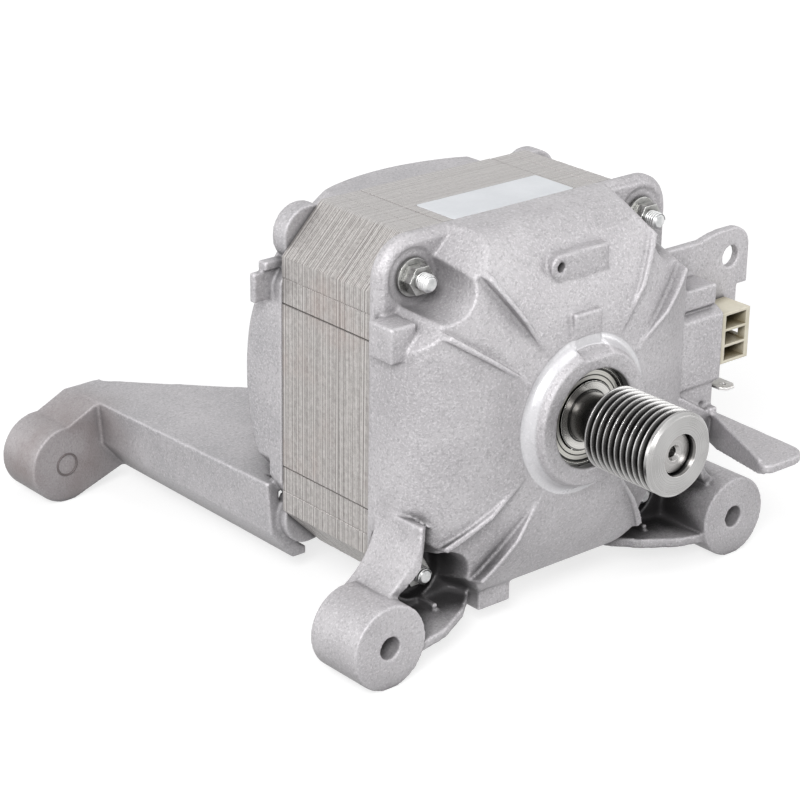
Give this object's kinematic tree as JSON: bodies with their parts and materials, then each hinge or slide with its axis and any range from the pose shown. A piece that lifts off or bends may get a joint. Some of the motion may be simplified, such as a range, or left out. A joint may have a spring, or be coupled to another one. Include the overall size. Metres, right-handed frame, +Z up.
{
  "type": "belt-drive washing machine motor",
  "caption": "Three-phase belt-drive motor: laminated stack between die-cast end shields, ribbed belt sleeve on the shaft, cast mounting feet, side connector.",
  "frame": {"origin": "midway between the two front foot holes, in the plane of the front foot faces", "axes": "+Y from the belt sleeve towards the rear legs, parallel to the shaft; +Z up; +X to the side that carries the connector"},
  "size_m": [0.1755, 0.2231, 0.124],
  "materials": {
    "cast_aluminium": "die-cast, fine matte grain",
    "lamination_steel": "stacked laminations, dull grey",
    "bright_steel": "turned and ground",
    "zinc_steel": "bright zinc plate",
    "bearing_steel": "ground and polished",
    "enamelled_copper": "enamelled winding",
    "terminal_brass": "tinned brass",
    "ivory_plastic": "moulded ivory nylon",
    "lead_insulation": "sleeved lead"
  },
  "bodies": {
    "housing": {"front_shield": "cast_aluminium", "rear_shield": "cast_aluminium", "stator_core": "lamination_steel", "stator_winding": "enamelled_copper", "through_bolts": "zinc_steel", "flange_nuts": "zinc_steel", "front_bearing_outer": "bearing_steel", "front_bearing_seals": "bearing_steel", "rear_bearing_outer": "bearing_steel", "rear_bearing_seals": "bearing_steel", "preload_washer": "bright_steel", "connector_housing": "ivory_plastic", "connector_terminals": "terminal_brass", "phase_leads": "lead_insulation", "earth_tab": "zinc_steel", "earth_rivet": "zinc_steel"},
    "rotor": {"rotor_shaft": "bright_steel", "rotor_core": "lamination_steel", "rotor_cage": "cast_aluminium", "belt_sleeve": "bright_steel", "front_bearing_inner": "bearing_steel", "rear_bearing_inner": "bearing_steel"},
    "front_cage_set": {"front_balls": "bearing_steel", "front_ball_cage": "bearing_steel"},
    "rear_cage_set": {"rear_balls": "bearing_steel", "rear_ball_cage": "bearing_steel"}
  },
  "joints": [
    {"name": "rotor_spin", "type": "hinge", "parent": "housing", "child": "rotor", "pos_m": [0, 0, 0.054], "axis": [0, -1, 0], "continuous": true},
    {"name": "front_cage_spin", "type": "hinge", "parent": "housing", "child": "front_cage_set", "pos_m": [0, 0, 0.054], "axis": [0, -1, 0], "continuous": true},
    {"name": "rear_cage_spin", "type": "hinge", "parent": "housing", "child": "rear_cage_set", "pos_m": [0, 0.08, 0.054], "axis": [0, -1, 0], "continuous": true}
  ],
  "couplings": [
    {"joint": "front_cage_spin", "follows": "rotor_spin", "ratio": 0.381},
    {"joint": "rear_cage_spin", "follows": "rotor_spin", "ratio": 0.3648}
  ]
}
